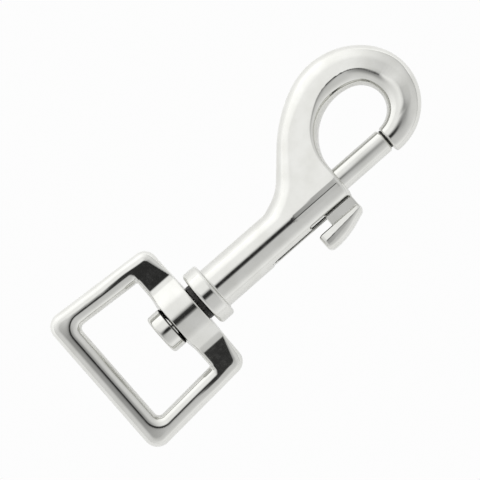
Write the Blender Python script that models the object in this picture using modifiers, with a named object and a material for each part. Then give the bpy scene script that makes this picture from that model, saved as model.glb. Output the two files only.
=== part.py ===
"""Swivel bolt snap with a square swivel eye, at its real size, in metres.

+X runs along the barrel towards the hook, +Z rises out of the eye's broad face and +Y is the crown's side.
The origin is the middle of the strap bar's bearing face, inside the eye.
The hook is rolled about the barrel, so that the snap lies steady on its collar and on the hook's crown.
"""

import math

import bmesh
import bpy
import numpy as np
from mathutils import Matrix, Vector

# Driving sizes
WEBBING = 0.025  # the strap that the eye takes
BARREL_RADIUS = 0.0051
BOLT_RADIUS = 0.0028
GAP = 0.0003  # between any two pieces that touch or run on each other
HOOK_ROLL = math.radians(-11)

# Stations along the barrel's axis, from the strap bar's bearing face
BAR_WIDTH = 0.0056
HEAD_REAR = 0.0122
BOSS_REAR = 0.0156
CROSSBAR_REAR = 0.0161
CROSSBAR_FRONT = 0.0230
BOSS_FRONT = 0.0231
COLLAR_REAR = 0.0243
COLLAR_FRONT = 0.0282
STUD_FRONT = 0.0315
SLOT_REAR = 0.0418
BOLT_REAR = 0.0565
MOUTH = 0.0647
NOSE_FACE = 0.0785
BOLT_TIP = NOSE_FACE - GAP

# Turned pieces
COLLAR_RADIUS = 0.00685
BORE_RADIUS = BOLT_RADIUS + GAP
HEAD_RADIUS = 0.00485
WASHER_RADIUS = 0.0044
EDGE_ROUND = 0.0007
MOUTH_ROUND = 0.0014
TURNED_STEPS = 40

# Square eye
EYE_HALF_THICKNESS = 0.0027
EYE_ROUND = 0.0022
SIDE_WIDTH = 0.0056
OPENING_REAR_HALF = WEBBING / 2 + 0.0008
OPENING_FRONT_HALF = WEBBING / 2 - 0.0003
REAR_CORNER = 0.0034
FRONT_CORNER = 0.0026
BOSS_RADIUS = 0.00645
BOSS_FILLET = 0.0070

# Hook, in its own plane: x along the barrel, v towards the crown, w across
OPENING_START = (NOSE_FACE, 0.00275)
OPENING_PATH = [(0.0058, 163), (0.0119, 106)]  # radius and turn of each arc, in metres and degrees
OUTSIDE_START = (NOSE_FACE, -0.00375)
OUTSIDE_HEADING = -3
OUTSIDE_PATH = [(0.0003, 0), (0.0134, 133.7), (0.0168, 72.9), (0.0329, 24.9), (0.0069, 0), (0.0120, -48.5)]
CROWN_HEADING = 180  # up to the crown's top, the two sides are matched by heading
# By heading of the opening: heading, inner round, half thickness, outer slope in degrees, outer round and its taper,
# which is 1 for an elliptic edge and 2 for the parabolic one that runs out into the barrel
HOOK_SECTIONS = [
    (0, 0.0027, 0.0030, 2, 0.0036, 1),
    (45, 0.0033, 0.0032, 14, 0.0027, 1),
    (90, 0.0041, 0.0034, 27, 0.0018, 1),
    (180, 0.0035, 0.00345, 22, 0.0019, 1),
    (225, 0.0020, 0.0041, 8, 0.0030, 1),
    (250, 0.0012, 0.0045, 4, 0.0060, 1.3),
    (269, 0.0008, 0.0048, 0, 0.0130, 2),
]
RING_STATIONS = 24  # an even number, so that one facet of the opening faces straight back: the seat
WEB_STATIONS = 12
TRACE_STEPS = 80
ROUND_STEPS = 4
WEB_ROOT = 0.0005  # how far above the axis the web ends, inside the barrel

# Slot, bolt and thumb tab
SLOT_HALF = 0.0012
FLAT = 0.0045  # the slot's face, from the axis
RELIEF_REAR = 0.0530
RELIEF_FRONT = 0.0638
RELIEF_HALF = 0.0023
RELIEF = 0.0041
TAB_STEM = (0.0569, 0.0643)
TAB_HALF = SLOT_HALF - GAP
TAB_DEPTH = 0.0013  # the stem's foot, from the axis
TAB_NECK = 0.0075
HEAD_HALF = 0.0026
HEAD_EDGE = 0.0006
TAB_HEAD_START = (0.0528, -0.0069)
TAB_HEAD_PATH = [(0.0028, 0), (0.0014, 88), (0.0180, 22), (0.0027, 0), (0.0012, 70), (0.0006, 0)]

# Spring
WIRE_RADIUS = 0.0003
COIL_RADIUS = 0.0023
COIL_TURNS = 12
COIL_POINTS = 10
END_TURNS = 1.25  # closed turns at each end

PLATED = {"colour": (0.80, 0.80, 0.77), "metallic": 1.0, "roughness": 0.08}
STEEL = {"colour": (0.50, 0.50, 0.50), "metallic": 1.0, "roughness": 0.30}
BLACKENED = {"colour": (0.03, 0.03, 0.03), "metallic": 0.6, "roughness": 0.45}

ALONG_X = Matrix.Rotation(math.pi / 2, 4, "Y")
ROLLED = Matrix.Rotation(HOOK_ROLL, 4, "X")


def clear_scene():
    for obj in list(bpy.data.objects):
        bpy.data.objects.remove(obj, do_unlink=True)


def new_collection(name):
    collection = bpy.data.collections.new(name)
    bpy.context.scene.collection.children.link(collection)
    return collection


def place(name, data, collection, matrix=None):
    obj = bpy.data.objects.new(name, data)
    collection.objects.link(obj)
    if matrix is not None:
        obj.matrix_world = matrix
    return obj


def finish(obj, look):
    """Gives a piece its own material and shades its round faces smooth."""
    material = bpy.data.materials.new(obj.name)
    material.use_nodes = True
    shader = material.node_tree.nodes["Principled BSDF"]
    shader.inputs["Base Color"].default_value = (*look["colour"], 1)
    shader.inputs["Metallic"].default_value = look["metallic"]
    shader.inputs["Roughness"].default_value = look["roughness"]
    obj.data.materials.clear()
    obj.data.materials.append(material)
    if obj.type == "MESH":
        obj.data.shade_smooth()
        obj.data.set_sharp_from_angle(angle=math.radians(35))
    return obj


def to_mesh(obj, collection):
    """Turns an object into a closed mesh of its evaluated shape, in place."""
    bpy.context.view_layer.update()
    seen = obj.evaluated_get(bpy.context.evaluated_depsgraph_get())
    mesh = bpy.data.meshes.new_from_object(seen)
    matrix = obj.matrix_world.copy()
    name = obj.name
    bpy.data.objects.remove(obj, do_unlink=True)
    bm = bmesh.new()
    bm.from_mesh(mesh)
    bmesh.ops.remove_doubles(bm, verts=bm.verts, dist=1e-6)
    bmesh.ops.recalc_face_normals(bm, faces=bm.faces)
    bm.to_mesh(mesh)
    bm.free()
    return place(name, mesh, collection, matrix)


def boolean(obj, other, operation):
    modifier = obj.modifiers.new(other.name, "BOOLEAN")
    modifier.operation = operation
    modifier.object = other
    modifier.solver = "EXACT"


def as_cutter(obj):
    obj.hide_render = True
    obj.display_type = "WIRE"
    return obj


def joined(obj, others, collection):
    """One solid from overlapping ones, which are used up."""
    for other in others:
        boolean(obj, other, "UNION")
    solid = to_mesh(obj, collection)
    for other in others:
        bpy.data.objects.remove(other, do_unlink=True)
    return solid


def rounded_edge(x, radius, size, towards, rising):
    """Points of a quarter round at an outer edge: x is its end face, towards is the side of the solid."""
    points = []
    for step in range(4):
        angle = math.pi / 2 * step / 3
        across = size * (1 - math.sin(angle))
        down = size * (1 - math.cos(angle))
        points.append((x + towards * across, radius - down))
    return points[::-1] if rising else points


def turned(name, profile, collection):
    """A solid of revolution about +X, from (x, radius) points that start and end on the axis or form a ring."""
    ring = min(radius for _, radius in profile) > 0
    mesh = bpy.data.meshes.new(name)
    count = len(profile)
    edges = [(i, (i + 1) % count) for i in range(count if ring else count - 1)]
    mesh.from_pydata([(x, radius, 0) for x, radius in profile], edges, [])
    obj = place(name, mesh, collection)
    screw = obj.modifiers.new("turn", "SCREW")
    screw.axis = "X"
    screw.steps = screw.render_steps = TURNED_STEPS
    screw.use_merge_vertices = True
    screw.merge_threshold = 1e-5
    return to_mesh(obj, collection)


def trace(start, heading, path, steps):
    """Points along tangent arcs. Each stretch is (radius, turn), or (length, 0) for a straight one."""
    x, v = start
    points = [(x, v, heading)]
    for size, turn in path:
        if turn == 0:
            x += size * math.cos(math.radians(heading))
            v += size * math.sin(math.radians(heading))
            points.append((x, v, heading))
            continue
        side = math.copysign(1, turn)
        for _ in range(steps):
            middle = math.radians(heading + turn / steps / 2)
            chord = 2 * size * math.sin(math.radians(abs(turn)) / steps / 2)
            x += chord * math.cos(middle)
            v += chord * math.sin(middle)
            heading += side * abs(turn) / steps
            points.append((x, v, heading))
    return points


def outline_curve(name, loops, depth, round_off, round_steps, collection):
    """A flat plate from closed outlines, with rounded edges that grow it by round_off."""
    curve = bpy.data.curves.new(name, "CURVE")
    curve.dimensions = "2D"
    curve.fill_mode = "BOTH"
    curve.extrude = depth - round_off
    curve.bevel_depth = round_off
    curve.bevel_resolution = round_steps
    for loop in loops:
        spline = curve.splines.new("POLY")
        spline.points.add(len(loop) - 1)
        for point, (x, y) in zip(spline.points, loop):
            point.co = (x, y, 0, 1)
        spline.use_cyclic_u = True
    return place(name, curve, collection)


def rounded_trapezoid(x_rear, x_front, half_rear, half_front, corner_rear, corner_front, steps=5):
    """A closed outline, symmetric about y = 0, with round corners."""
    slope = math.atan2(half_rear - half_front, x_front - x_rear)
    points = []
    for x, half, corner, face, low, high in (
        (x_front, half_front, corner_front, -1, 0, math.pi / 2 - slope),
        (x_rear, half_rear, corner_rear, 1, math.pi / 2 - slope, math.pi),
    ):
        centre_x = x + face * corner
        side_at_centre = half - (centre_x - x) * math.tan(slope)
        centre_y = side_at_centre - corner / math.cos(slope)
        for step in range(steps + 1):
            angle = low + (high - low) * step / steps
            points.append((centre_x + corner * math.cos(angle), centre_y + corner * math.sin(angle)))
    return points + [(x, -y) for x, y in reversed(points)]


def box(name, low, high, collection, matrix=None):
    mesh = bpy.data.meshes.new(name)
    bm = bmesh.new()
    bmesh.ops.create_cube(bm, size=1)
    low, high = Vector(low), Vector(high)
    size = high - low
    bmesh.ops.scale(bm, vec=size, verts=bm.verts)
    bmesh.ops.translate(bm, vec=(low + high) / 2, verts=bm.verts)
    bm.to_mesh(mesh)
    bm.free()
    return place(name, mesh, collection, matrix)


def cylinder(name, radius, x_low, x_high, collection):
    mesh = bpy.data.meshes.new(name)
    bm = bmesh.new()
    bmesh.ops.create_cone(
        bm,
        cap_ends=True,
        segments=TURNED_STEPS,
        radius1=radius,
        radius2=radius,
        depth=x_high - x_low,
        matrix=Matrix.Translation(((x_low + x_high) / 2, 0, 0)) @ ALONG_X,
    )
    bm.to_mesh(mesh)
    bm.free()
    return place(name, mesh, collection)


def square_eye(parts, cutters):
    """The strap's frame, with a bored boss in its crossbar that turns on the stud."""
    frame_rear = -BAR_WIDTH + EYE_ROUND
    frame_front = CROSSBAR_FRONT - EYE_ROUND
    outer_rear = OPENING_REAR_HALF + SIDE_WIDTH - EYE_ROUND
    outer_front = OPENING_FRONT_HALF + SIDE_WIDTH - EYE_ROUND
    outer = rounded_trapezoid(
        frame_rear, frame_front, outer_rear, outer_front, REAR_CORNER - EYE_ROUND / 2, FRONT_CORNER - EYE_ROUND / 2
    )
    inner = rounded_trapezoid(
        -EYE_ROUND,
        CROSSBAR_REAR + EYE_ROUND,
        OPENING_REAR_HALF + EYE_ROUND,
        OPENING_FRONT_HALF + EYE_ROUND,
        REAR_CORNER,
        FRONT_CORNER,
    )
    frame = outline_curve("square_eye", [outer, inner], EYE_HALF_THICKNESS, EYE_ROUND, 2, parts)
    frame = to_mesh(frame, parts)

    crossbar_half = OPENING_FRONT_HALF + EYE_ROUND
    crossbar = box(
        "crossbar",
        (CROSSBAR_REAR, -crossbar_half, -EYE_HALF_THICKNESS),
        (CROSSBAR_FRONT, crossbar_half, EYE_HALF_THICKNESS),
        parts,
    )
    bevel = crossbar.modifiers.new("edges", "BEVEL")
    bevel.width = EDGE_ROUND
    bevel.segments = 2

    rise = BOSS_RADIUS + BOSS_FILLET
    level = EYE_HALF_THICKNESS - 0.5 * EDGE_ROUND
    foot = math.sqrt(rise**2 - (level + BOSS_FILLET) ** 2)
    lean = math.atan2(foot, level + BOSS_FILLET)
    quarter = []
    for step in range(5):
        angle = lean * step / 4
        quarter.append((BOSS_RADIUS * math.sin(angle), BOSS_RADIUS * math.cos(angle)))
    for step in range(1, 5):
        angle = lean * (1 - step / 4)
        quarter.append((foot - BOSS_FILLET * math.sin(angle), level + BOSS_FILLET * (1 - math.cos(angle))))
    upper = [(-y, z) for y, z in reversed(quarter[1:])] + quarter
    hump = upper + [(y, -z) for y, z in reversed(upper)]
    inset = 0.0001
    cheeks = outline_curve("cheeks", [hump], (CROSSBAR_FRONT - CROSSBAR_REAR) / 2 - inset, 0, 0, parts)
    cheeks.matrix_world = Matrix(
        ((0, 0, 1, (CROSSBAR_FRONT + CROSSBAR_REAR) / 2), (1, 0, 0, 0), (0, 1, 0, 0), (0, 0, 0, 1))
    )
    cheeks = to_mesh(cheeks, parts)
    boss = cylinder("boss", BOSS_RADIUS + inset, BOSS_REAR, BOSS_FRONT, parts)

    eye = joined(frame, [crossbar, cheeks, boss], parts)
    hole = as_cutter(cylinder("boss_hole", BORE_RADIUS, BOSS_REAR - 0.001, BOSS_FRONT + 0.001, cutters))
    boolean(eye, hole, "DIFFERENCE")
    return finish(eye, PLATED)


def swivel_stud(parts):
    """The rivet that the eye turns on: its head is inside the eye and its shank is pressed into the barrel."""
    profile = [(HEAD_REAR, 0)]
    profile += rounded_edge(HEAD_REAR, HEAD_RADIUS, EDGE_ROUND, 1, True)
    profile += [(BOSS_REAR - GAP, HEAD_RADIUS), (BOSS_REAR - GAP, BOLT_RADIUS)]
    profile += [(STUD_FRONT - GAP, BOLT_RADIUS), (STUD_FRONT, BOLT_RADIUS - GAP), (STUD_FRONT, 0)]
    return finish(turned("swivel_stud", profile, parts), PLATED)


def swivel_washer(parts):
    rear, front = BOSS_FRONT + GAP, COLLAR_REAR - GAP
    profile = [(rear, BORE_RADIUS), (rear, WASHER_RADIUS), (front, WASHER_RADIUS), (front, BORE_RADIUS)]
    return finish(turned("swivel_washer", profile, parts), BLACKENED)


def section_at(heading):
    headings = [row[0] for row in HOOK_SECTIONS]
    values = [np.interp(heading, headings, column) for column in list(zip(*HOOK_SECTIONS))[1:]]
    return values


def hook_section(width, heading):
    """Points (u, w) round one section: u runs outwards from the opening, w across the hook."""
    inner, half, slope, outer, taper = section_at(heading)
    fall = (width - inner - outer) * math.tan(math.radians(slope))
    outer_half = half - fall
    wall = min(half, 2.2 * inner)
    upper = []
    for step in range(1, ROUND_STEPS + 1):
        angle = math.pi / 2 * step / ROUND_STEPS
        if step == 1:
            upper.append((0, half - wall * (1 - math.sin(angle))))
            continue
        upper.append((inner * (1 - math.cos(angle)), half - wall * (1 - math.sin(angle))))
    for step in range(ROUND_STEPS):
        angle = math.pi / 2 * (1 - step / ROUND_STEPS)
        upper.append((width - outer * (1 - math.cos(angle)), outer_half * math.sin(angle) ** taper))
    return upper + [(width, 0)] + [(u, -w) for u, w in reversed(upper)]


def at_heading(points, heading):
    """The point where a traced side reaches a heading."""
    headings = [p[2] for p in points]
    return tuple(float(np.interp(heading, headings, [p[i] for p in points])) for i in (0, 1))


def hook_loft(parts):
    """The web, crown and nose, lofted between unlike sections across the hook's band."""
    opening = trace(OPENING_START, 0, OPENING_PATH, TRACE_STEPS)
    outside = trace(OUTSIDE_START, OUTSIDE_HEADING, OUTSIDE_PATH, TRACE_STEPS)
    last = opening[-1][2]
    crown = next(i for i, p in enumerate(outside) if p[2] >= CROWN_HEADING)
    rest = outside[crown:]
    headings = list(np.linspace(0, CROWN_HEADING, RING_STATIONS))
    headings += list(np.linspace(CROWN_HEADING, last, WEB_STATIONS + 1))[1:]
    lengths = np.cumsum([0] + [math.dist(a[:2], b[:2]) for a, b in zip(rest, rest[1:])])
    stations = []
    for heading in headings:
        inner = at_heading(opening, heading)
        if heading == 0:
            outer = OUTSIDE_START
        elif heading <= CROWN_HEADING:
            outer = at_heading(outside[: crown + 1], heading)
        else:
            share = (heading - CROWN_HEADING) / (last - CROWN_HEADING)
            along = lengths[-1] * share
            outer = tuple(float(np.interp(along, lengths, [p[i] for p in rest])) for i in (0, 1))
        stations.append((Vector(inner), Vector(outer), heading))
    inner, outer, _ = stations[-1]
    stations.append((Vector((inner.x - GAP, WEB_ROOT)), Vector((outer.x, WEB_ROOT)), last))

    bm = bmesh.new()
    rings = []
    for inner, outer, heading in stations:
        across = outer - inner
        unit = across.normalized()
        ring = []
        for u, w in hook_section(across.length, heading):
            spot = inner + unit * u
            ring.append(bm.verts.new((spot.x, spot.y, w)))
        rings.append(ring)
    for one, two in zip(rings, rings[1:]):
        for i in range(len(one)):
            j = (i + 1) % len(one)
            bm.faces.new((one[i], one[j], two[j], two[i]))
    bm.faces.new(rings[0])
    bm.faces.new(rings[-1])
    bmesh.ops.recalc_face_normals(bm, faces=bm.faces)
    mesh = bpy.data.meshes.new("hook_loft")
    bm.to_mesh(mesh)
    bm.free()
    return place("hook_loft", mesh, parts)


def hook_body(parts, cutters):
    """The casting: collar, barrel, web, crown and nose in one piece, with the bolt's bore and the tab's slot.

    The slot opens in a flat along the barrel, with a shallow relief where the tab rests.
    """
    profile = [(COLLAR_REAR, 0)]
    profile += rounded_edge(COLLAR_REAR, COLLAR_RADIUS, EDGE_ROUND, 1, True)
    profile += rounded_edge(COLLAR_FRONT, COLLAR_RADIUS, EDGE_ROUND, -1, False)
    profile += [(COLLAR_FRONT, BARREL_RADIUS)]
    profile += rounded_edge(MOUTH, BARREL_RADIUS, MOUTH_ROUND, -1, False)
    profile += [(MOUTH, 0)]
    barrel = turned("hook_body", profile, parts)
    body = joined(barrel, [hook_loft(parts)], parts)
    body.matrix_world = ROLLED
    past = 0.0013
    bore = as_cutter(cylinder("bore", BORE_RADIUS, COLLAR_REAR - past, MOUTH + past, cutters))
    slot = as_cutter(
        box(
            "slot",
            (SLOT_REAR, -BARREL_RADIUS - past, -SLOT_HALF),
            (MOUTH + past, -BOLT_RADIUS / 2, SLOT_HALF),
            cutters,
            ROLLED,
        )
    )
    flat = as_cutter(
        box(
            "flat",
            (SLOT_REAR, -BARREL_RADIUS - past, -BARREL_RADIUS),
            (MOUTH + past, -FLAT, BARREL_RADIUS),
            cutters,
            ROLLED,
        )
    )
    relief = as_cutter(
        box(
            "relief",
            (RELIEF_REAR, -BARREL_RADIUS - past, -RELIEF_HALF),
            (RELIEF_FRONT, -RELIEF, RELIEF_HALF),
            cutters,
            ROLLED,
        )
    )
    for cutter in (flat, relief, bore, slot):
        boolean(body, cutter, "DIFFERENCE")
    return finish(body, PLATED)


def bolt(parts, cutters):
    """The spring-loaded pin that closes the hook, with a pocket for the tab's foot."""
    chamfer = 0.0004
    profile = [
        (BOLT_REAR, 0),
        (BOLT_REAR, BOLT_RADIUS - chamfer),
        (BOLT_REAR + chamfer, BOLT_RADIUS),
        (BOLT_TIP - chamfer, BOLT_RADIUS),
        (BOLT_TIP, BOLT_RADIUS - chamfer),
        (BOLT_TIP, 0),
    ]
    pin = turned("bolt", profile, parts)
    rear, front = TAB_STEM
    pocket = as_cutter(
        box(
            "tab_pocket",
            (rear - GAP, -BOLT_RADIUS - GAP, -TAB_HALF - GAP),
            (front + GAP, -TAB_DEPTH + GAP, TAB_HALF + GAP),
            cutters,
            ROLLED,
        )
    )
    boolean(pin, pocket, "DIFFERENCE")
    return finish(pin, PLATED)


def thumb_tab(parts):
    """The thumb piece: a foot in the bolt, a stem through the slot and a head that overhangs to the rear."""
    loop = [(x, v) for x, v, _ in trace(TAB_HEAD_START, -90, TAB_HEAD_PATH, 5)]
    head = outline_curve("thumb_tab", [loop], HEAD_HALF, 0, 0, parts)
    head = to_mesh(head, parts)
    bevel = head.modifiers.new("edges", "BEVEL")
    bevel.width = HEAD_EDGE
    bevel.segments = 2
    bevel.limit_method = "ANGLE"
    bevel.angle_limit = math.radians(50)
    rear, front = TAB_STEM
    stem = box("stem", (rear, -TAB_NECK, -TAB_HALF), (front, -TAB_DEPTH, TAB_HALF), parts)
    tab = joined(head, [stem], parts)
    tab.matrix_world = ROLLED
    return finish(tab, PLATED)


def bolt_spring(parts):
    """A compression spring in the bore, between the stud's end and the bolt, with closed end turns."""
    low = STUD_FRONT + GAP + WIRE_RADIUS
    high = BOLT_REAR - GAP - WIRE_RADIUS
    closed = 2.4 * WIRE_RADIUS  # advance of a closed turn
    open_turns = COIL_TURNS - 2 * END_TURNS
    open_pitch = (high - low - 2 * END_TURNS * closed) / open_turns
    ends = [0, END_TURNS, COIL_TURNS - END_TURNS, COIL_TURNS]
    places = [low, low + END_TURNS * closed, low + END_TURNS * closed + open_turns * open_pitch, high]
    curve = bpy.data.curves.new("bolt_spring", "CURVE")
    curve.dimensions = "3D"
    curve.bevel_depth = WIRE_RADIUS
    curve.bevel_resolution = 1
    curve.use_fill_caps = True
    spline = curve.splines.new("POLY")
    count = int(COIL_TURNS * COIL_POINTS) + 1
    spline.points.add(count - 1)
    for i, point in enumerate(spline.points):
        turn = COIL_TURNS * i / (count - 1)
        angle = 2 * math.pi * turn
        x = float(np.interp(turn, ends, places))
        point.co = (x, COIL_RADIUS * math.cos(angle), COIL_RADIUS * math.sin(angle), 1)
    return finish(to_mesh(place("bolt_spring", curve, parts), parts), STEEL)


def main():
    clear_scene()
    parts = new_collection("bolt_snap")
    cutters = new_collection("cutters")
    square_eye(parts, cutters)
    swivel_stud(parts)
    swivel_washer(parts)
    hook_body(parts, cutters)
    bolt(parts, cutters)
    thumb_tab(parts)
    bolt_spring(parts)


main()
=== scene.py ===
"""Swivel bolt snap with a square eye: bright nickel plate on a white table, in soft studio light.

The castings are solids given by a distance field, so that every edge is a true round and every join is
blended as a casting's is. Lengths in the fields are millimetres in the row's frame; meshes are in metres.
"""

import math

import bpy
import numpy as np
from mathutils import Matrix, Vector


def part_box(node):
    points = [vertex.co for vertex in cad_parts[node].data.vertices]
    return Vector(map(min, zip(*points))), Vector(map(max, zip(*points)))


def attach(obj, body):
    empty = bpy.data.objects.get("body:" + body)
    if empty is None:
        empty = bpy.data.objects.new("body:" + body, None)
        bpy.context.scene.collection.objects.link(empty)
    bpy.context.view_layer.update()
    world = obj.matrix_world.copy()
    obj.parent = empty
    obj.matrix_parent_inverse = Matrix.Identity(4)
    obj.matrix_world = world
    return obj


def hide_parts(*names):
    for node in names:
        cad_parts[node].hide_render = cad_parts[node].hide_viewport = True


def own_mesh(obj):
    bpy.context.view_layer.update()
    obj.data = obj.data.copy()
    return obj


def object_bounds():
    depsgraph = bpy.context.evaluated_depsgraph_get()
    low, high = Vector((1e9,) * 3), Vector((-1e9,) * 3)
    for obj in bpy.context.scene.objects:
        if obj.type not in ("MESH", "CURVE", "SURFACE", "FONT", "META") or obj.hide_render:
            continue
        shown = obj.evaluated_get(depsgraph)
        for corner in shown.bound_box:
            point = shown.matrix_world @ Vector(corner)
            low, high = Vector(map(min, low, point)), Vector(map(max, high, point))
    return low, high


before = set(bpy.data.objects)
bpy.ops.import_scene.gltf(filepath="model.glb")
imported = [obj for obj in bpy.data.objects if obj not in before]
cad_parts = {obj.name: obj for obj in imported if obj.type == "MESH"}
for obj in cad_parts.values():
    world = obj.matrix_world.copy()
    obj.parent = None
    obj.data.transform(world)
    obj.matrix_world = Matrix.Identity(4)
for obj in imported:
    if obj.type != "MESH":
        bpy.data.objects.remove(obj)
CAD_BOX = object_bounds()
MM = 0.001


def node_mm(name):
    low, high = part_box(name)
    return np.array(low) / MM, np.array(high) / MM


# Stations along the barrel's axis, read from the frame
HOOK_LOW, HOOK_HIGH = node_mm("hook_body")
EYE_LOW, EYE_HIGH = node_mm("square_eye")
STUD_LOW, STUD_HIGH = node_mm("swivel_stud")
WASHER_LOW, WASHER_HIGH = node_mm("swivel_washer")
BOLT_LOW, BOLT_HIGH = node_mm("bolt")
SPRING_LOW, SPRING_HIGH = node_mm("bolt_spring")
TAB_LOW, TAB_HIGH = node_mm("thumb_tab")

GAP = 0.3
HOOK_ROLL = math.radians(-11)  # of the hook's plane about the barrel
COLLAR_REAR = HOOK_LOW[0]
COLLAR_LENGTH = 3.9
COLLAR_FRONT = COLLAR_REAR + COLLAR_LENGTH
COLLAR_RADIUS = HOOK_HIGH[2]
BARREL_RADIUS = 5.1
BOLT_RADIUS = BOLT_HIGH[2]
BORE_RADIUS = BOLT_RADIUS + GAP
NOSE_FACE = BOLT_HIGH[0] + GAP
MOUTH_LENGTH = 13.8
MOUTH = NOSE_FACE - MOUTH_LENGTH
BOSS_FRONT = WASHER_LOW[0] - GAP
CROSSBAR_REAR = 16.1
BOSS_REAR = 15.6
CROSSBAR_FRONT = 23.0

# Hook, in its own plane: x along the barrel, v towards the crown, w across
OPENING_START = (NOSE_FACE, 2.75)
OPENING_ARCS = [(5.8, 163), (11.9, 106)]
OUTSIDE_START = (NOSE_FACE, -3.75)
OUTSIDE_HEADING = -3
OUTSIDE_ARCS = [(0.3, 0), (13.4, 133.7), (16.8, 72.9), (32.9, 24.9), (6.9, 0), (12.0, -48.5)]
RUN_IN = 3
RUN_OUT = 30  # straight lengths that carry a path on past what it bounds
# By heading of the opening, in degrees: inner round, half thickness, outer slope in degrees, outer round,
# then the ridge: its distance from the opening, the slope on the opening's side and its softness
HOOK_SECTIONS = {
    0: (2.75, 3.05, 0, 3.7, 2.75, 0, 0.4),
    38: (2.9, 3.2, 0, 4.2, 2.9, 0, 0.4),
    50: (3.5, 3.25, 18, 2.4, 4.0, 0, 0.3),
    84: (3.9, 3.20, 21, 2.2, 4.3, 0, 0.3),
    100: (3.0, 2.98, 16, 3.0, 3.4, 2, 0.3),
    125: (2.6, 3.37, 10, 3.8, 3.2, 8, 0.3),
    145: (2.6, 3.50, 7, 4.4, 3.15, 18, 0.12),
    165: (2.7, 3.42, 3, 5.4, 3.15, 20, 0.05),
    190: (2.5, 3.45, 1, 5.4, 2.7, 20, 0.05),
    207: (1.7, 3.80, 2, 4.6, 1.9, 18, 0.1),
    225: (1.7, 4.05, 3, 3.6, 1.7, 4, 0.3),
    250: (1.2, 4.45, 1, 4.4, 1.2, 0, 0.4),
    269: (0.8, 4.80, 0, 5.0, 0.8, 0, 0.4),
}
SECTION_SPREAD = (-8, -4, 0, 4, 8)  # degrees of heading over which the sections are averaged
LEAST_TOP = 0.8  # of the band's section
WEB_FALL = math.radians(5.4)  # of the web's flat faces, which leave the barrel tangentially
WEB_END = 49.0  # from here to the rear the web sinks into the barrel
WEB_SINK = 0.05  # for each millimetre
WEB_ROOT = 0.2  # height above the axis that the web starts from
WEB_FROM = (150, 185)  # headings between which the section turns into the flat web
# Two narrow facets meet in a straight edge beside the web's root: their stations and half widths as angles,
# and the angle of that edge, which is the barrel's highest line
FACETS = (49.5, 52.0, 64.5)
FACET_HALF = (0, math.radians(5.5), math.radians(6.5))
FACET_EDGE = -HOOK_ROLL

SLOT_REAR = 41.8
SLOT_HALF = 1.2
SLOT_FLAT = 4.7
RELIEF = (53.0, 63.8)
RELIEF_HALF = 2.65
RELIEF_FLOOR = 4.35
FLAT_REAR = SLOT_REAR - 0.4

# Two stations within the mouth: the bore and slot are cut behind the first, the nose's face beyond the second
BARREL_SIDE = MOUTH + 3
NOSE_SIDE = MOUTH + 5
NOSE_TOP = 6  # height that the nose's face ends under

# Rounds of the hook's edges and fillets of its joins
MOUTH_ROUND = 1.3
COLLAR_ROUND = 0.75
COLLAR_FILLET = 0.5
FLAT_ROUND = 0.2
RELIEF_ROUND = 0.15
NOSE_ROUND = 0.5
WEB_FILLET = 0.12
BORE_ROUND = 0.3
SLOT_ROUND = 0.2

HOOK_CELL = 0.25
EYE_CELL = 0.24
TAB_CELL = 0.13
DEEP = 9.0  # depth that leaves a side out where it doesn't count


# ------------------------------------------------ distance fields: positive inside, in millimetres


def rounded_meet(radius, *sides):
    """The solid inside every side, with its edges rounded to a radius."""
    short = sum(np.maximum(radius - side, 0) ** 2 for side in sides)
    rounded = radius - np.sqrt(short)
    least = sides[0]
    for side in sides[1:]:
        least = np.minimum(least, side)
    return np.where(short > 0, rounded, least)


def blended(one, two, width):
    """The union of two solids, with their join filled by a fillet of about that width."""
    share = np.maximum(width - np.abs(one - two), 0) / width
    return np.maximum(one, two) + share * share * width / 4


def smooth_step(value, low, high):
    t = np.clip((value - low) / (high - low), 0, 1)
    return t * t * (3 - 2 * t)


def mix(one, two, share):
    return one + (two - one) * share


def soft_plus(value, width):
    return 0.5 * (value + np.sqrt(value * value + width * width))


def path_segments(start, heading, path):
    """Tangent arcs (radius, turn in degrees) and straight lines (length, 0), each with where it starts."""
    x, y = start
    segments = []
    for size, turn in path:
        h = math.radians(heading)
        if turn == 0:
            segments.append((x, y, heading, size, 0))
            x += size * math.cos(h)
            y += size * math.sin(h)
            continue
        side = math.copysign(1, turn)
        centre = (x - side * size * math.sin(h), y + side * size * math.cos(h))
        segments.append((*centre, heading, size, turn))
        heading += turn
        h = math.radians(heading)
        x = centre[0] + side * size * math.sin(h)
        y = centre[1] - side * size * math.cos(h)
    return segments


def path_field(segments, x, y):
    """Signed distance to a path, positive on its left, and the path's heading at the nearest point."""
    best = np.full(np.shape(x), -1e3)
    heading = np.zeros(np.shape(x))
    for px, py, start, size, turn in segments:
        if turn == 0:
            dx, dy = math.cos(math.radians(start)), math.sin(math.radians(start))
            along = (x - px) * dx + (y - py) * dy
            signed = (y - py) * dx - (x - px) * dy
            inside = (along >= 0) & (along <= size)
            there = start
        else:
            side = math.copysign(1, turn)
            rx, ry = x - px, y - py
            turned = side * (np.degrees(np.arctan2(side * rx, -side * ry)) - start)
            turned = (turned + 60) % 360 - 60
            signed = side * (size - np.hypot(rx, ry))
            inside = (turned >= 0) & (turned <= abs(turn))
            there = start + side * turned
        closer = inside & (np.abs(signed) < np.abs(best))
        best = np.where(closer, signed, best)
        heading = np.where(closer, there, heading)
    return best, heading


def rolled(points):
    """Row frame to the hook's own plane."""
    c, s = math.cos(HOOK_ROLL), math.sin(HOOK_ROLL)
    x, y, z = points[:, 0], points[:, 1], points[:, 2]
    return x, c * y + s * z, -s * y + c * z


def run_in(start, heading, path):
    """A path that starts a straight length sooner and ends a straight length later."""
    h = math.radians(heading)
    sooner = (start[0] - RUN_IN * math.cos(h), start[1] - RUN_IN * math.sin(h))
    return path_segments(sooner, heading, [(RUN_IN, 0), *path, (RUN_OUT, 0)])


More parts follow.
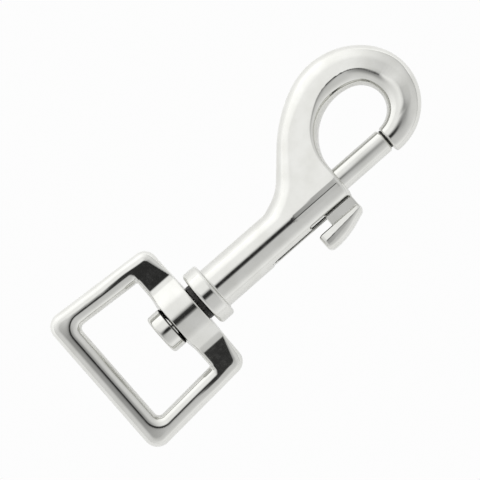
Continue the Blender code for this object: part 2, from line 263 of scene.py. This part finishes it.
OPENING = run_in(OPENING_START, 0, OPENING_ARCS)
OUTSIDE = run_in(OUTSIDE_START, OUTSIDE_HEADING, OUTSIDE_ARCS)


INNER_DROP = 2.2  # of the round along the inner edge, to its width
EDGE_SHARE = (0.25, 0.6)  # of the way across, over which the inner round's drop turns into the outer one's
MOST_DEPTH = 2  # that a section's field reaches


def domed(u, t, w, inner, outer, top):
    """A bar's section: u and t inside its two edges, domed by an elliptic round along each, under a top."""
    inner_drop = np.minimum(top, INNER_DROP * inner)
    outer_drop = np.minimum(top, outer)
    drop = mix(inner_drop, outer_drop, smooth_step(u / np.maximum(u + t, 1e-3), *EDGE_SHARE))
    p = np.maximum(1 - u / inner, 0)
    q = np.maximum(1 - t / outer, 0)
    r = np.maximum(1 - (top - np.abs(w)) / drop, 0)
    return (1 - np.sqrt(p * p + q * q + r * r)) * np.minimum(drop, MOST_DEPTH)


def hook_band(x, v, w):
    """Web, crown and nose: the band between the opening and the outside."""
    inward, heading = path_field(OPENING, x, v)
    u = -inward
    t, _ = path_field(OUTSIDE, x, v)
    rows = np.array(list(HOOK_SECTIONS.values()), float).T
    listed = list(HOOK_SECTIONS)
    nearby = [heading + turn for turn in SECTION_SPREAD]
    columns = (np.mean([np.interp(turn, listed, row) for turn in nearby], axis=0) for row in rows)
    inner, half, slope, outer, ridge, inner_slope, softness = columns
    crowned = half - np.tan(np.radians(slope)) * soft_plus(u - ridge, softness)
    tangent = v > BARREL_RADIUS * math.sin(WEB_FALL)
    plane = BARREL_RADIUS / math.cos(WEB_FALL) - math.tan(WEB_FALL) * v
    flat = np.where(tangent, plane, np.sqrt(np.maximum(BARREL_RADIUS**2 - v * v, 0)))
    top = mix(crowned, flat, smooth_step(heading, *WEB_FROM))
    top = top - np.tan(np.radians(inner_slope)) * soft_plus(ridge - u, softness)
    return domed(u, t, w, inner, outer, np.maximum(top, LEAST_TOP))


def hook_field(points):
    """Collar, barrel, web, crown and nose, with the bore, and the slot in its flat."""
    x, v, w = rolled(points)
    radius = np.hypot(v, w)
    half = np.interp(x, FACETS, FACET_HALF)
    side = BARREL_RADIUS - radius
    for tilt in (FACET_EDGE - half, FACET_EDGE + half):
        side = np.minimum(side, BARREL_RADIUS * np.cos(half) - np.abs(w) * np.cos(tilt) + v * np.sin(tilt))
    barrel = rounded_meet(MOUTH_ROUND, side, MOUTH - x, x - COLLAR_REAR)
    collar = rounded_meet(COLLAR_ROUND, COLLAR_RADIUS - radius, x - COLLAR_REAR, COLLAR_FRONT - x)
    stem = blended(barrel, collar, COLLAR_FILLET)
    flat = np.maximum(v + SLOT_FLAT, FLAT_REAR - x)
    stem = rounded_meet(FLAT_ROUND, stem, flat)
    pocket = np.maximum(np.maximum(w - RELIEF_HALF, -SLOT_HALF - w), v + RELIEF_FLOOR)
    pocket = np.maximum(pocket, np.maximum(RELIEF[0] - x, x - RELIEF[1]))
    stem = rounded_meet(RELIEF_ROUND, stem, pocket)

    band = hook_band(x, v, w)
    web = np.minimum(band - WEB_SINK * np.maximum(WEB_END - x, 0), v - WEB_ROOT)
    nose = rounded_meet(NOSE_ROUND, band, np.where(v < NOSE_TOP, x - NOSE_FACE, DEEP))
    solid = blended(stem, np.where(x > NOSE_SIDE, nose, web), WEB_FILLET)

    solid = rounded_meet(BORE_ROUND, solid, np.where(x < BARREL_SIDE, radius - BORE_RADIUS, DEEP))
    end = SLOT_REAR + SLOT_HALF
    across = np.where(x < end, np.hypot(x - end, w), np.abs(w))
    slotted = (v < 0) & (x < BARREL_SIDE)
    return rounded_meet(SLOT_ROUND, solid, np.where(slotted, across - SLOT_HALF, DEEP))


EYE_WIDEST = -1.5  # station of the eye's greatest width
EYE_HALF = 18.75
SIDE_SLOPE = math.atan2(1.5, 21.0)
OPENING_HALF = 13.3  # at the strap bar
OPENING_SLOPE = math.atan2(1.1, CROSSBAR_REAR)
REAR_CORNER = 3.6
FRONT_CORNER = 2.8
OPENING_REAR_CORNER = 1.3
OPENING_FRONT_CORNER = 0.4
EYE_TOP = 2.72
RIM_START = 2.85  # from the opening, where the top of the frame begins to fall
RIM_SOFTNESS = 0.7
RIM_SLOPE = math.radians(9)
RIM_FADE = (8, 15)  # stations over which that fall dies out along the sides
FRAME_INNER = 2.65
FRAME_OUTER = 2.2
BOSS_REAR_ROUND = 0.15
CROSSBAR_REAR_ROUND = 1.0
BOSS_REAR_EDGE = (4.4, 7)  # half widths over which the first of these turns into the second
TO_FRONT = (-0.1, 0.8)  # along the crossbar's side of each corner's mitre, where its rounds take over
FRONT_EDGE = (0.4, 2.4)  # round of the crossbar's front edge at the boss, and the most towards the sides
FRONT_EDGE_FROM = 9
FRONT_EDGE_GROWTH = 0.34
FRONT_EDGE_SPAN = (15, 19.5)
BOSS_FRONT_SPAN = (5, 12)  # half widths over which the boss runs out into the crossbar, in front
BOSS_REAR_SPAN = (4, 8.5)  # and behind
SWELL_SPAN = (12.5, 15)  # stations over which the frame's top turns into the boss's
LEAST_STEEPNESS = 0.5  # that the field is scaled by beside the boss, where the section is lower
HOLE_FROM = 10  # the hole is bored ahead of here, so not through the strap bar
HOLE_ROUND = 0.25
FLANK = math.radians(34)  # of the boss's sides, between its round crest and the round at its foot
CREST_RADIUS = 8.6
CREST_END = CREST_RADIUS * math.sin(FLANK)
FOOT_RADIUS = 3.2
FOOT = 9.2
FLANK_END = FOOT - FOOT_RADIUS * math.sin(FLANK)


def eye_field(points):
    """A square frame of round bars, with a crossbar that swells into a bored boss."""
    x, y, z = points[:, 0], np.abs(points[:, 1]), points[:, 2]
    front = CROSSBAR_FRONT + (BOSS_FRONT - CROSSBAR_FRONT) * (1 - smooth_step(y, *BOSS_FRONT_SPAN))
    side = (EYE_HALF - (x - EYE_WIDEST) * math.tan(SIDE_SLOPE) - y) * math.cos(SIDE_SLOPE)
    rear_end = rounded_meet(REAR_CORNER, side, x - EYE_LOW[0])
    t = np.minimum(rear_end, rounded_meet(FRONT_CORNER, side, front - x))
    inner_side = (OPENING_HALF - x * math.tan(OPENING_SLOPE) - y) * math.cos(OPENING_SLOPE)
    rear = mix(BOSS_REAR, CROSSBAR_REAR, smooth_step(y, *BOSS_REAR_SPAN))
    inner_end = rounded_meet(OPENING_REAR_CORNER, inner_side, x)
    u = -np.minimum(inner_end, rounded_meet(OPENING_FRONT_CORNER, inner_side, rear - x))

    foot = EYE_TOP + FOOT_RADIUS - np.sqrt(FOOT_RADIUS**2 - np.clip(FOOT - y, 0, FOOT - FLANK_END) ** 2)
    flank = math.tan(FLANK) * (FLANK_END - np.clip(y, CREST_END, FLANK_END))
    crest = np.sqrt(CREST_RADIUS**2 - np.minimum(y, CREST_END) ** 2) - CREST_RADIUS * math.cos(FLANK)
    swell = foot + flank + crest
    at_crossbar = smooth_step(x, *SWELL_SPAN)
    rim = math.tan(RIM_SLOPE) * soft_plus(u - RIM_START, RIM_SOFTNESS) * (1 - smooth_step(x, *RIM_FADE))
    top = mix(EYE_TOP, swell, at_crossbar) - rim
    to_front = smooth_step((x - CROSSBAR_REAR) / np.maximum(u, 1e-3), *TO_FRONT)
    rear_edge = mix(BOSS_REAR_ROUND, CROSSBAR_REAR_ROUND, smooth_step(y, *BOSS_REAR_EDGE))
    inner = mix(FRAME_INNER, rear_edge, to_front)
    front_edge = np.clip(FRONT_EDGE[0] + FRONT_EDGE_GROWTH * (y - FRONT_EDGE_FROM), *FRONT_EDGE)
    outer = mix(FRAME_OUTER, front_edge, smooth_step(x, *FRONT_EDGE_SPAN))
    steep = np.where(at_crossbar > 0.5, np.clip(swell / EYE_HIGH[2], LEAST_STEEPNESS, 1), 1.0)
    bar = domed(u, t, z, inner, outer, top) * steep
    hole = np.where(x > HOLE_FROM, np.hypot(y, z) - BORE_RADIUS, DEEP)
    return rounded_meet(HOLE_ROUND, bar, hole)


TAB_STEM = (56.9, 64.3)
TAB_NECK = 6.9
TAB_SLOT_HALF = 0.9
TAB_FOOT = 1.3
TAB_START = (TAB_LOW[0], -TAB_NECK + 1)
TAB_ARCS = [(3.8, 0), (1.4, 88), (18.0, 22), (2.7, 0), (1.2, 70), (1.6, 0)]
TAB_OUTLINE = path_segments(TAB_START, -90, TAB_ARCS)
TAB_DATUM = 55
TAB_RIDGES = ((-8.74, 0.08), (-9.86, 0.19))  # each one's height at the datum, and its rise along the head
TAB_SLOPES = (7, 15, 24)  # in degrees: towards the barrel, of the wedge between the ridges, and beyond it
RIDGE_SOFTNESS = 0.06
TAB_TOP = 2.6
TAB_FALL_FROM = 56  # station that the head's top falls from, towards the hook
TAB_FALL = 0.04
TAB_LEAST_TOP = 0.6
TAB_INNER = 0.55
TAB_OUTER = {-90: 1.1, -20: 1.3, 20: 1.3, 90: 0.9}  # round by heading of the head's outline
NECK_HALF = 1.15
NECK_SPREAD = 0.34  # of the stem, from the neck towards the flat
NECK_STEEPNESS = 0.94  # cosine of the stem's spreading sides
STEM_ROUND = 0.3
STEM_TOP = 8.2  # from the axis, inside the head
TAB_FILLET = 0.4
TAB_CLEARANCE = 0.1  # over the flat


def tab_field(points):
    """The thumb piece: a crowned head, on a stem that spreads over the slot and then passes through it."""
    x, v, w = rolled(points)
    t, heading = path_field(TAB_OUTLINE, x, v)
    outer = np.interp(heading, list(TAB_OUTER), list(TAB_OUTER.values()))
    past, past_wedge = (start + rise * (x - TAB_DATUM) - v for start, rise in TAB_RIDGES)
    inner, wedge, outer_slope = (math.tan(math.radians(slope)) for slope in TAB_SLOPES)
    fall = inner * soft_plus(-past, RIDGE_SOFTNESS) + wedge * soft_plus(past, RIDGE_SOFTNESS)
    fall = fall + (outer_slope - wedge) * soft_plus(past_wedge, RIDGE_SOFTNESS)
    top = TAB_TOP - TAB_FALL * np.maximum(x - TAB_FALL_FROM, 0) - fall
    head = domed(-TAB_NECK - v, t, w, TAB_INNER, outer, np.maximum(top, TAB_LEAST_TOP))
    spread = NECK_HALF + NECK_SPREAD * (v + TAB_NECK)
    width = np.where(v < -SLOT_FLAT - TAB_CLEARANCE, spread, TAB_SLOT_HALF)
    ends = np.minimum(x - TAB_STEM[0], TAB_STEM[1] - x)
    stem = rounded_meet(STEM_ROUND, (width - np.abs(w)) * NECK_STEEPNESS, ends)
    stem = np.minimum(stem, np.minimum(v + STEM_TOP, -TAB_FOOT - v))
    return blended(head, stem, TAB_FILLET)


# ------------------------------------------------ meshes from fields


def surface_net(field, low, high, cell):
    """A closed quad mesh round a field's solid: one point for each cell that the surface crosses."""
    counts = np.ceil((high - low) / cell).astype(int) + 1
    axes = [low[i] + cell * np.arange(counts[i]) for i in range(3)]
    grid = np.stack(np.meshgrid(*axes, indexing="ij"), -1)
    values = np.empty(counts)
    slab = 32
    for i in range(0, counts[0], slab):
        block = grid[i : i + slab]
        values[i : i + slab] = field(block.reshape(-1, 3)).reshape(block.shape[:3])
    inside = values > 0
    cells = counts - 1
    total = np.zeros((*cells, 3))
    hits = np.zeros(cells)
    quads = []
    for axis in range(3):
        near = [slice(None)] * 3
        far = [slice(None)] * 3
        near[axis], far[axis] = slice(0, -1), slice(1, None)
        near, far = tuple(near), tuple(far)
        crossing = inside[near] != inside[far]
        share = np.where(crossing, values[near] / np.where(crossing, values[near] - values[far], 1), 0)
        spots = grid[near].copy()
        spots[..., axis] += share * cell
        spots *= crossing[..., None]
        others = [i for i in range(3) if i != axis]
        for shift in ((0, 0), (0, 1), (1, 0), (1, 1)):
            cut = [slice(None)] * 3
            for other, step in zip(others, shift):
                cut[other] = slice(step, step + cells[other])
            total += spots[tuple(cut)]
            hits += crossing[tuple(cut)]
        where = np.argwhere(crossing)
        corners = []
        for shift in ((0, 0), (1, 0), (1, 1), (0, 1)):
            corner = where.copy()
            for other, step in zip(others, shift):
                corner[:, other] -= step
            corners.append(np.ravel_multi_index(corner.T, cells))
        quad = np.stack(corners, 1)
        outward = inside[near][tuple(where.T)] ^ (axis == 1)
        quads.append(np.where(outward[:, None], quad, quad[:, ::-1]))
    used = hits > 0
    number = np.full(np.prod(cells), -1)
    number[used.ravel()] = np.arange(used.sum())
    return total[used] / hits[used][:, None], number[np.concatenate(quads)]


def steepest(field, points, step=0.02):
    """The field's slope at some points, along each axis."""
    slopes = [(field(points + step * e) - field(points - step * e)) / (2 * step) for e in np.eye(3)]
    return np.stack(slopes, 1)


def settled(points, field, rounds=4, most=0.2, least_slope=0.05):
    """Points moved on to the field's surface, along its steepest way."""
    for _ in range(rounds):
        slope = steepest(field, points)
        steepness = np.maximum((slope**2).sum(1), least_slope)
        move = -field(points)[:, None] * slope / steepness[:, None]
        length = np.linalg.norm(move, axis=1)[:, None]
        points = points + move * np.minimum(1, most / np.maximum(length, 1e-9))
    return points


def new_piece(name, points, faces):
    mesh = bpy.data.meshes.new(name)
    mesh.from_pydata((np.asarray(points) * MM).tolist(), [], faces)
    mesh.shade_smooth()
    obj = bpy.data.objects.new(name, mesh)
    bpy.context.scene.collection.objects.link(obj)
    return obj


def cast(name, field, low, high, cell):
    """A casting: a field's solid, meshed evenly and settled on the true surface, whose slopes shade it."""
    margin = 3 * cell
    points, faces = surface_net(field, low - margin, high + margin, cell)
    points = settled(points, field)
    obj = new_piece(name, points, faces.tolist())
    outward = -steepest(field, points)
    outward /= np.maximum(np.linalg.norm(outward, axis=1), 1e-9)[:, None]
    obj.data.normals_split_custom_set_from_vertices(outward.tolist())
    return obj


def round_off(x, radius, size, facing, outer_first, steps=6):
    """Profile points of a rounded edge between an end face at x, facing -1 or 1, and a side at a radius."""
    points = []
    for i in range(steps + 1):
        angle = math.pi / 2 * i / steps
        points.append((x - facing * size * (1 - math.cos(angle)), radius - size * (1 - math.sin(angle))))
    return points[::-1] if outer_first else points


def turned(name, profile, steps=160):
    """A solid turned about the barrel's axis from (x, radius) points, axis to axis or as a closed ring."""
    ring = min(r for _, r in profile) > 0
    angles = [2 * math.pi * i / steps for i in range(steps)]
    points = []
    rows = []
    for x, r in profile:
        if r == 0:
            rows.append([len(points)] * steps)
            points.append((x, 0, 0))
            continue
        rows.append(list(range(len(points), len(points) + steps)))
        points += [(x, r * math.cos(a), r * math.sin(a)) for a in angles]
    pairs = list(zip(rows, rows[1:]))
    if ring:
        pairs.append((rows[-1], rows[0]))
    faces = []
    for one, two in pairs:
        for i in range(steps):
            j = (i + 1) % steps
            corners = [one[i], one[j], two[j], two[i]]
            faces.append([c for k, c in enumerate(corners) if c != corners[k - 1]])
    obj = new_piece(name, points, faces)
    obj.data.set_sharp_from_angle(angle=math.radians(40))
    return obj


# ------------------------------------------------ materials


def material(name, colour, metallic, roughness):
    mat = bpy.data.materials.new(name)
    mat.use_nodes = True
    shader = mat.node_tree.nodes["Principled BSDF"]
    shader.inputs["Base Color"].default_value = (*colour, 1)
    shader.inputs["Metallic"].default_value = metallic
    shader.inputs["Roughness"].default_value = roughness
    return mat, mat.node_tree, shader


def noise(tree, scale, detail, stretch=(1, 1, 1)):
    """A noise texture in the piece's own coordinates, in metres; scale is its waves per metre."""
    where = tree.nodes.new("ShaderNodeTexCoord")
    mapping = tree.nodes.new("ShaderNodeMapping")
    mapping.inputs["Scale"].default_value = stretch
    texture = tree.nodes.new("ShaderNodeTexNoise")
    texture.inputs["Scale"].default_value = scale
    texture.inputs["Detail"].default_value = detail
    tree.links.new(where.outputs["Object"], mapping.inputs["Vector"])
    tree.links.new(mapping.outputs["Vector"], texture.inputs["Vector"])
    return texture.outputs["Fac"]


def ramp(tree, value, low, high, to_low, to_high):
    node = tree.nodes.new("ShaderNodeMapRange")
    node.inputs["From Min"].default_value = low
    node.inputs["From Max"].default_value = high
    node.inputs["To Min"].default_value = to_low
    node.inputs["To Max"].default_value = to_high
    tree.links.new(value, node.inputs["Value"])
    return node.outputs["Result"]


def colour_between(tree, value, one, two):
    node = tree.nodes.new("ShaderNodeMix")
    node.data_type = "RGBA"
    node.inputs["A"].default_value = (*one, 1)
    node.inputs["B"].default_value = (*two, 1)
    tree.links.new(value, node.inputs["Factor"])
    return node.outputs["Result"]


def bump(tree, height, distance, below=None):
    node = tree.nodes.new("ShaderNodeBump")
    node.inputs["Distance"].default_value = distance
    tree.links.new(height, node.inputs["Height"])
    if below is not None:
        tree.links.new(below, node.inputs["Normal"])
    return node.outputs["Normal"]


NICKEL = (0.71, 0.71, 0.685)
NICKEL_CLOUD = (0.66, 0.66, 0.63)


def plate(name, waviness, grain, stretch=(1, 1, 1)):
    """Bright nickel plate: cloudy in tone and gloss, over the waves and fine grain of what is under it."""
    mat, tree, shader = material(name, NICKEL, metallic=1.0, roughness=0.06)
    cloud = noise(tree, scale=260, detail=4)
    tone = ramp(tree, cloud, low=0.35, high=0.7, to_low=0, to_high=1)
    tree.links.new(colour_between(tree, tone, NICKEL, NICKEL_CLOUD), shader.inputs["Base Color"])
    haze = noise(tree, scale=900, detail=5)
    gloss = ramp(tree, haze, low=0.3, high=0.75, to_low=0.045, to_high=0.13)
    tree.links.new(gloss, shader.inputs["Roughness"])
    waves = bump(tree, noise(tree, scale=210, detail=2), distance=waviness)
    fine = bump(tree, noise(tree, scale=1500, detail=3, stretch=stretch), distance=grain, below=waves)
    tree.links.new(fine, shader.inputs["Normal"])
    return mat


def painted_shade_material(name):
    """Near-black metal that paints shade into narrow gaps where there is only shadow, blotched at random in
    tone and gloss.
    """
    black, greyer = (0.012, 0.012, 0.012), (0.05, 0.048, 0.045)
    mat, tree, shader = material(name, (0.02, 0.02, 0.02), metallic=0.7, roughness=0.4)
    blotch = ramp(tree, noise(tree, scale=1200, detail=5), low=0.35, high=0.65, to_low=0, to_high=1)
    tree.links.new(colour_between(tree, blotch, black, greyer), shader.inputs["Base Color"])
    gloss = ramp(tree, noise(tree, scale=2500, detail=4), low=0.3, high=0.7, to_low=0.3, to_high=0.5)
    tree.links.new(gloss, shader.inputs["Roughness"])
    pits = bump(tree, noise(tree, scale=4000, detail=3), distance=6e-6)
    tree.links.new(pits, shader.inputs["Normal"])
    return mat


def wire_steel(name):
    """Drawn spring wire, uneven in tone and gloss."""
    dull, bright = (0.38, 0.38, 0.37), (0.56, 0.56, 0.55)
    mat, tree, shader = material(name, (0.5, 0.5, 0.5), metallic=1.0, roughness=0.28)
    tone = ramp(tree, noise(tree, scale=900, detail=4), low=0.3, high=0.7, to_low=0, to_high=1)
    tree.links.new(colour_between(tree, tone, dull, bright), shader.inputs["Base Color"])
    gloss = ramp(tree, noise(tree, scale=3000, detail=3), low=0.3, high=0.7, to_low=0.2, to_high=0.38)
    tree.links.new(gloss, shader.inputs["Roughness"])
    return mat


# ------------------------------------------------ pieces


def add(obj, body, node, mat):
    obj.data.materials.append(mat)
    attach(obj, body)
    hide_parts(node)
    return obj


def make_castings():
    casting = plate("plated_casting", waviness=4e-6, grain=1.3e-6)
    hook = cast("hook_casting", hook_field, HOOK_LOW, HOOK_HIGH, HOOK_CELL)
    add(hook, "snap_body", "hook_body", casting)
    eye = cast("eye_casting", eye_field, EYE_LOW, EYE_HIGH, EYE_CELL)
    add(eye, "eye", "square_eye", casting)
    tab = cast("thumb_piece", tab_field, TAB_LOW, TAB_HIGH, TAB_CELL)
    add(tab, "sliding_bolt", "thumb_tab", casting)


CHAMFER = 0.45
CHAMFER_EASE = 0.1  # each side of the tip's chamfer runs out over this length
CHAMFER_DROP = 0.04
SPIGOT_STEP = 0.5
OVERLAP = 0.1  # of a dark filler of painted shade into the piece that it sits on
SPIGOT_CLEARANCE = 0.03
SEAT_CLEARANCE = 0.02
HEAD_ROUND = 0.75
SEAT_ROUND = 0.1
WASHER_SPREAD = 0.25  # on each side, over the gap that the solids keep, so that the dark ring fills it as painted shade
WASHER_EDGE = 0.1


def make_turnings():
    turning = plate("plated_turning", waviness=1e-6, grain=8e-7, stretch=(4, 0.3, 0.3))
    rear, front = BOLT_LOW[0], BOLT_HIGH[0]
    edge = BOLT_RADIUS - CHAMFER
    profile = [(rear, 0), (rear, edge), (rear + CHAMFER, BOLT_RADIUS)]
    profile += [(front - CHAMFER - CHAMFER_EASE, BOLT_RADIUS), (front - CHAMFER, BOLT_RADIUS - CHAMFER_DROP)]
    profile += [(front - CHAMFER_DROP, edge), (front, edge - CHAMFER_EASE), (front, 0)]
    add(turned("bolt_pin", profile), "sliding_bolt", "bolt", turning)
    # The near-black pieces below are painted shade: dark fillers set in gaps where there is only shadow.
    painted_shade = painted_shade_material("painted_shade_black")
    # Dark disc on the bolt's tip: painted shade filling the gap before the nose's face, where there is only
    # shadow.
    spigot = BOLT_RADIUS - SPIGOT_STEP
    low, high = front - OVERLAP, front + GAP - SPIGOT_CLEARANCE
    profile = [(low, 0), (low, spigot), (high, spigot), (high, 0)]
    add(turned("bolt_tip_shade", profile), "sliding_bolt", "bolt", painted_shade)

    rear, front = STUD_LOW[0], STUD_HIGH[0]
    radius = STUD_HIGH[2]
    seat = BOSS_REAR - GAP / 2
    profile = [(rear, 0)] + round_off(rear, radius, HEAD_ROUND, facing=-1, outer_first=False)
    profile += round_off(seat, radius, SEAT_ROUND, facing=1, outer_first=True)
    profile += [(seat, BOLT_RADIUS), (front - GAP, BOLT_RADIUS), (front, BOLT_RADIUS - GAP), (front, 0)]
    add(turned("stud_rivet", profile), "snap_body", "swivel_stud", turning)

    # Dark ring under the stud's head: painted shade filling the gap to the boss, where there is only shadow.
    low, high, rim = seat - OVERLAP, BOSS_REAR - SEAT_CLEARANCE, radius - SEAT_ROUND
    profile = [(low, BORE_RADIUS), (low, rim), (high, rim), (high, BORE_RADIUS)]
    add(turned("head_seat_shade", profile), "snap_body", "swivel_stud", painted_shade)

    # The washer is a real piece, but its near-black colour and its spread over the gaps on each side are
    # painted shade.
    rear, front = WASHER_LOW[0] - WASHER_SPREAD, WASHER_HIGH[0] + WASHER_SPREAD
    radius = WASHER_HIGH[2]
    profile = [(rear, BORE_RADIUS), (rear, radius - WASHER_EDGE), (rear + WASHER_EDGE, radius)]
    profile += [(front - WASHER_EDGE, radius), (front, radius - WASHER_EDGE), (front, BORE_RADIUS)]
    add(turned("washer_shade_ring", profile), "snap_body", "swivel_washer", painted_shade)


def make_spring():
    """The coil: a helix of round wire, with closed turns at each end."""
    wire = 0.3
    coil = SPRING_HIGH[1] - wire
    turns = 12
    end_turns = 1.25
    closed = 2.4 * wire
    low, high = SPRING_LOW[0] + wire, SPRING_HIGH[0] - wire
    stations = [0, end_turns, turns - end_turns, turns]
    places = [low, low + end_turns * closed, high - end_turns * closed, high]
    per_turn, around = 48, 12
    turn = np.linspace(0, turns, turns * per_turn + 1)
    x = np.interp(turn, stations, places)
    angle = 2 * math.pi * turn
    centre = np.stack([x, coil * np.cos(angle), coil * np.sin(angle)], 1)
    out = np.stack([np.zeros_like(x), np.cos(angle), np.sin(angle)], 1)
    ahead = np.gradient(centre, axis=0)
    ahead /= np.linalg.norm(ahead, axis=1)[:, None]
    across = np.cross(ahead, out)
    ring = 2 * math.pi * np.arange(around) / around
    points = centre[:, None] + wire * (
        out[:, None] * np.cos(ring)[None, :, None] + across[:, None] * np.sin(ring)[None, :, None]
    )
    count = len(turn)
    faces = []
    for i in range(count - 1):
        for j in range(around):
            k = (j + 1) % around
            faces.append([i * around + j, i * around + k, (i + 1) * around + k, (i + 1) * around + j])
    faces.append(list(range(around))[::-1])
    faces.append(list(range((count - 1) * around, count * around)))
    spring = new_piece("coil_spring", points.reshape(-1, 3), faces)
    add(spring, "snap_body", "bolt_spring", wire_steel("spring_wire"))
    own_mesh(spring)


# ------------------------------------------------ studio


# Radiance of the studio by angle from overhead, in degrees, on each side
LIGHT_PLUS_Y = [(0, 0.02), (8, 0.05), (11, 0.45), (15, 0.85), (19, 1.1), (26, 1.15)]
LIGHT_PLUS_Y += [(50, 1.16), (62, 1.4), (90, 1.55)]
LIGHT_MINUS_Y = [(0, 0.02), (4, 0.05), (8, 0.3), (12, 0.72), (48, 0.76), (56, 0.82)]
LIGHT_MINUS_Y += [(66, 0.95), (78, 1.12), (90, 0.95)]
LIGHT_MINUS_X = [(0, 0.02), (7, 0.05), (11, 0.25), (15, 0.38), (24, 0.44), (38, 0.7), (50, 0.84), (90, 0.84)]
LIGHT_PLUS_X = [*LIGHT_MINUS_X[:-1], (66, 0.84), (82, 0.8), (90, 0.55)]
BRIGHTEST = 2.0
SIDE_BLEND = 0.35  # sine of the angle over which one side's light turns into the other's
TABLE_HALF = 3.0  # in metres, as the next two are
TABLE_GLOW_FROM = 0.005
TABLE_GLOW_TO = 0.06
TABLE_GLOW = (0.38, 0.68)
BACKDROP = 0.98
CAMERA_PLACE = (0.03943, 0.00442, 0.5)  # straight above, in metres
CAMERA_TURN = math.radians(-41.2)
CAMERA_LENS = 169.5  # in millimetres, as the sensor's width is
CAMERA_SENSOR = 36


def make_world():
    world = bpy.data.worlds.new("studio")
    bpy.context.scene.world = world
    world.use_nodes = True
    tree = world.node_tree
    nodes, links = tree.nodes, tree.links
    nodes.clear()

    def calc(operation, one, two=None):
        node = nodes.new("ShaderNodeMath")
        node.operation = operation
        for socket, value in zip(node.inputs, (one, two)):
            if isinstance(value, (int, float)):
                socket.default_value = value
            elif value is not None:
                links.new(value, socket)
        return node.outputs[0]

    def radiance(angle, stops):
        node = nodes.new("ShaderNodeValToRGB")
        elements = node.color_ramp.elements
        for i, (degrees, value) in enumerate(stops):
            element = elements[i] if i < 2 else elements.new(degrees / 90)
            element.position = degrees / 90
            level = value / BRIGHTEST
            element.color = (level, level, level, 1)
        links.new(angle, node.inputs["Fac"])
        return node.outputs["Color"]

    def between(share, one, two):
        node = nodes.new("ShaderNodeMix")
        node.data_type = "RGBA"
        links.new(share, node.inputs["Factor"])
        links.new(one, node.inputs["A"])
        links.new(two, node.inputs["B"])
        return node.outputs["Result"]

    where = nodes.new("ShaderNodeTexCoord")
    parts = nodes.new("ShaderNodeSeparateXYZ")
    links.new(where.outputs["Generated"], parts.inputs[0])
    x, y, z = parts.outputs
    angle = calc("DIVIDE", calc("ARCCOSINE", calc("MAXIMUM", z, 0.0)), math.pi / 2)
    flat = calc("MAXIMUM", calc("ADD", calc("MULTIPLY", x, x), calc("MULTIPLY", y, y)), 1e-6)
    side = calc("DIVIDE", calc("MULTIPLY", y, y), flat)
    length = calc("SQRT", flat)

    def to_plus(value):
        node = nodes.new("ShaderNodeMapRange")
        node.interpolation_type = "SMOOTHSTEP"
        node.inputs["From Min"].default_value = -SIDE_BLEND
        node.inputs["From Max"].default_value = SIDE_BLEND
        links.new(calc("DIVIDE", value, length), node.inputs["Value"])
        return node.outputs["Result"]

    across = between(to_plus(y), radiance(angle, LIGHT_MINUS_Y), radiance(angle, LIGHT_PLUS_Y))
    along = between(to_plus(x), radiance(angle, LIGHT_MINUS_X), radiance(angle, LIGHT_PLUS_X))
    colour = between(side, along, across)

    studio = nodes.new("ShaderNodeBackground")
    studio.inputs["Strength"].default_value = BRIGHTEST
    links.new(colour, studio.inputs["Color"])
    backdrop = nodes.new("ShaderNodeBackground")
    backdrop.inputs["Color"].default_value = (BACKDROP, BACKDROP, BACKDROP, 1)
    seen = nodes.new("ShaderNodeLightPath")
    choose = nodes.new("ShaderNodeMixShader")
    links.new(seen.outputs["Is Camera Ray"], choose.inputs["Fac"])
    links.new(studio.outputs[0], choose.inputs[1])
    links.new(backdrop.outputs[0], choose.inputs[2])
    output = nodes.new("ShaderNodeOutputWorld")
    links.new(choose.outputs[0], output.inputs["Surface"])


def make_floor():
    """A white light table, which glows more on the crown's side and is seen as an even white."""
    z = min(CAD_BOX[0][2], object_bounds()[0][2])
    corners = [(x * TABLE_HALF, y * TABLE_HALF, z) for x, y in ((-1, -1), (1, -1), (1, 1), (-1, 1))]
    mesh = bpy.data.meshes.new("floor")
    mesh.from_pydata(corners, [], [(0, 1, 2, 3)])
    floor = bpy.data.objects.new("floor", mesh)
    bpy.context.scene.collection.objects.link(floor)
    mat, tree, shader = material("light_table", (0.8, 0.8, 0.8), metallic=0.0, roughness=0.9)
    shader.inputs["Specular IOR Level"].default_value = 0.0
    shader.inputs["Emission Color"].default_value = (1, 1, 1, 1)
    where = tree.nodes.new("ShaderNodeTexCoord")
    parts = tree.nodes.new("ShaderNodeSeparateXYZ")
    tree.links.new(where.outputs["Object"], parts.inputs[0])
    glow = ramp(tree, parts.outputs["Y"], TABLE_GLOW_FROM, TABLE_GLOW_TO, *TABLE_GLOW)
    tree.links.new(glow, shader.inputs["Emission Strength"])
    backdrop = tree.nodes.new("ShaderNodeEmission")
    backdrop.inputs["Color"].default_value = (BACKDROP, BACKDROP, BACKDROP, 1)
    seen = tree.nodes.new("ShaderNodeLightPath")
    choose = tree.nodes.new("ShaderNodeMixShader")
    tree.links.new(seen.outputs["Is Camera Ray"], choose.inputs["Fac"])
    tree.links.new(shader.outputs[0], choose.inputs[1])
    tree.links.new(backdrop.outputs[0], choose.inputs[2])
    tree.links.new(choose.outputs[0], tree.nodes["Material Output"].inputs["Surface"])
    mesh.materials.append(mat)


def make_camera():
    data = bpy.data.cameras.new("camera")
    data.sensor_width = CAMERA_SENSOR
    data.lens = CAMERA_LENS
    camera = bpy.data.objects.new("camera", data)
    camera.location = CAMERA_PLACE
    camera.rotation_euler = (0, 0, CAMERA_TURN)
    bpy.context.scene.collection.objects.link(camera)
    bpy.context.scene.camera = camera


make_castings()
make_turnings()
make_spring()
make_world()
make_floor()
make_camera()
bpy.context.scene.view_settings.view_transform = "Standard"
